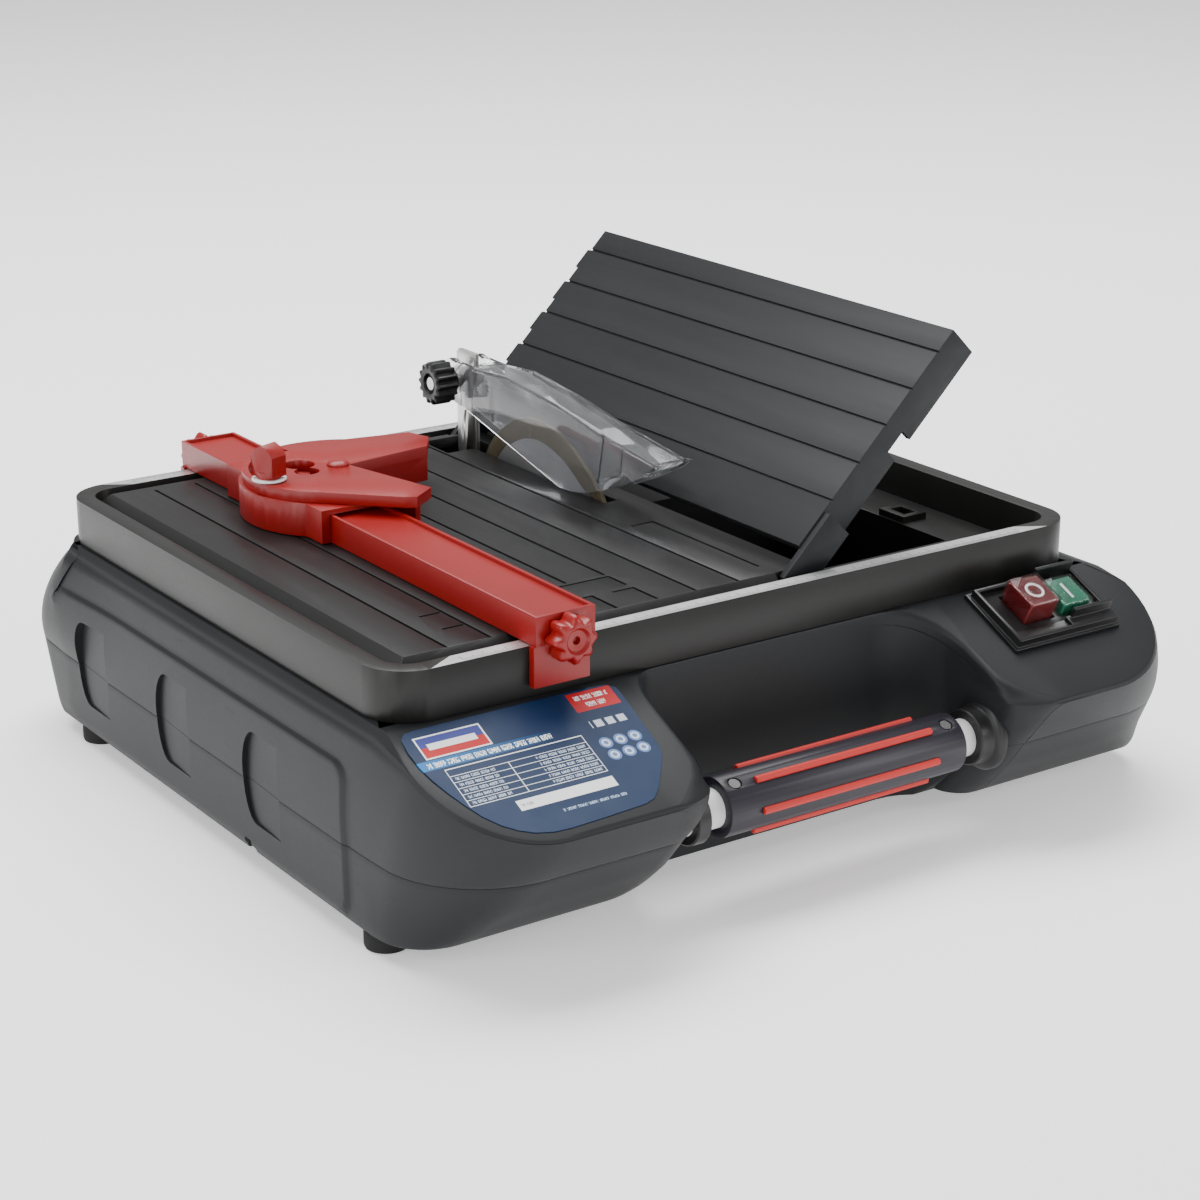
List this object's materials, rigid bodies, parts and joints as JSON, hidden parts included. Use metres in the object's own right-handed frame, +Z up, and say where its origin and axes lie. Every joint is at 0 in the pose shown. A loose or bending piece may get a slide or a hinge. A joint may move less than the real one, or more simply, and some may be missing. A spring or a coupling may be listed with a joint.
{
  "type": "wet tile saw",
  "caption": "Bench-top wet tile saw with a water tray, fixed and tilting tables, rip fence with angle guide, clear blade guard, carrying handle and a two-button switch.",
  "frame": {"origin": "centre of the footprint's bounding box, on the bench", "axes": "+Z up; +Y away from the operator at the switch and handle side; +X to the operator's right, across the blade"},
  "size_m": [0.384, 0.39, 0.2023],
  "materials": {
    "shell_plastic": "fine textured charcoal",
    "black_plastic": "satin black",
    "red_plastic": "satin red",
    "white_plastic": "satin white",
    "rubber": "matt",
    "rule_metal": "brushed",
    "steel": "machined",
    "cast_alloy": "cast",
    "copper": "turned copper",
    "lamination": "varnished laminations",
    "clear_plastic": "clear moulded",
    "label_film": "printed film",
    "green_plastic": "satin green",
    "blade_steel": "ground core, sintered rim"
  },
  "bodies": {
    "frame": {"upper_shell": "shell_plastic", "lower_shell": "shell_plastic", "base_screws": "steel", "rubber_feet": "rubber", "water_tray": "black_plastic", "front_rule": "rule_metal", "rear_rule": "rule_metal", "fixed_table": "shell_plastic", "spindle_bearings": "steel", "shaft_seal": "rubber", "gear_housing": "cast_alloy", "motor_bearings": "steel", "stator_core": "lamination", "motor_can": "steel", "brush_holders": "copper", "motor_bolts": "steel", "riving_knife": "steel", "knife_screws": "steel", "guard_bolt": "steel", "switch_housing": "black_plastic", "label_plate": "label_film", "cable_gland": "black_plastic", "handle_tube": "white_plastic", "handle_collars": "black_plastic", "handle_grip": "black_plastic", "grip_strips": "red_plastic", "grip_screws": "steel"},
    "spindle": {"diamond_blade": "blade_steel", "inner_flange": "steel", "outer_flange": "steel", "arbor_nut": "steel", "spindle_shaft": "steel", "spindle_gear": "steel"},
    "rotor": {"motor_pinion": "steel", "armature_shaft": "steel", "armature_core": "lamination", "commutator": "copper", "cooling_fan": "black_plastic"},
    "tilt_table": {"tilt_panel": "shell_plastic", "hinge_pins": "steel"},
    "guard": {"blade_guard": "clear_plastic"},
    "guard_clamp": {"guard_knob": "black_plastic"},
    "fence": {"fence_beam": "red_plastic", "front_jaw": "red_plastic", "rear_jaw": "red_plastic"},
    "front_clamp": {"fence_front_knob": "red_plastic"},
    "rear_clamp": {"fence_rear_knob": "red_plastic"},
    "guide": {"guide_base": "red_plastic", "guide_bolt": "steel"},
    "protractor": {"protractor_plate": "red_plastic", "pivot_rivet": "red_plastic"},
    "wing": {"wing_knob": "red_plastic", "knob_washer": "white_plastic"},
    "off_button": {"red_button": "red_plastic", "red_cap": "clear_plastic"},
    "on_button": {"green_button": "green_plastic", "green_cap": "clear_plastic"}
  },
  "joints": [
    {"name": "spindle_spin", "type": "hinge", "parent": "frame", "child": "spindle", "pos_m": [0.0102, 0.06, 0.0817], "axis": [1, 0, 0], "continuous": true},
    {"name": "rotor_spin", "type": "hinge", "parent": "frame", "child": "rotor", "pos_m": [0.084, 0.06, 0.0582], "axis": [1, 0, 0], "continuous": true},
    {"name": "table_tilt", "type": "hinge", "parent": "frame", "child": "tilt_table", "pos_m": [0.016, 0.0143, 0.1017], "axis": [0, 1, 0], "range_deg": [0, 45]},
    {"name": "guard_swing", "type": "hinge", "parent": "frame", "child": "guard", "pos_m": [0.01, 0.125, 0.145], "axis": [1, 0, 0], "range_deg": [-65, 0]},
    {"name": "guard_knob_turn", "type": "hinge", "parent": "frame", "child": "guard_clamp", "pos_m": [-0.006, 0.125, 0.145], "axis": [1, 0, 0], "range_deg": [0, 300]},
    {"name": "fence_slide", "type": "slide", "parent": "frame", "child": "fence", "axis": [1, 0, 0], "range_m": [-0.03, 0.028]},
    {"name": "front_knob_turn", "type": "hinge", "parent": "fence", "child": "front_clamp", "pos_m": [-0.1085, -0.138, 0.116], "axis": [0, 1, 0], "range_deg": [0, 300]},
    {"name": "rear_knob_turn", "type": "hinge", "parent": "fence", "child": "rear_clamp", "pos_m": [-0.1085, 0.169, 0.116], "axis": [0, 1, 0], "range_deg": [0, 300]},
    {"name": "guide_slide", "type": "slide", "parent": "fence", "child": "guide", "axis": [0, 1, 0], "range_m": [-0.13, 0.045]},
    {"name": "protractor_swing", "type": "hinge", "parent": "guide", "child": "protractor", "pos_m": [-0.094, 0.066, 0.1306], "axis": [0, 0, 1], "range_deg": [-5, 50]},
    {"name": "wing_knob_turn", "type": "hinge", "parent": "guide", "child": "wing", "pos_m": [-0.13, 0.062, 0.138], "axis": [0, 0, 1], "range_deg": [0, 300]},
    {"name": "off_press", "type": "slide", "parent": "frame", "child": "off_button", "axis": [0, 0.4226, -0.9063], "range_m": [0, 0.003], "stiffness_N_per_m": 600},
    {"name": "on_press", "type": "slide", "parent": "frame", "child": "on_button", "axis": [0, 0.4226, -0.9063], "range_m": [0, 0.003], "stiffness_N_per_m": 600}
  ],
  "couplings": [
    {"joint": "rotor_spin", "follows": "spindle_spin", "ratio": -3.7}
  ]
}
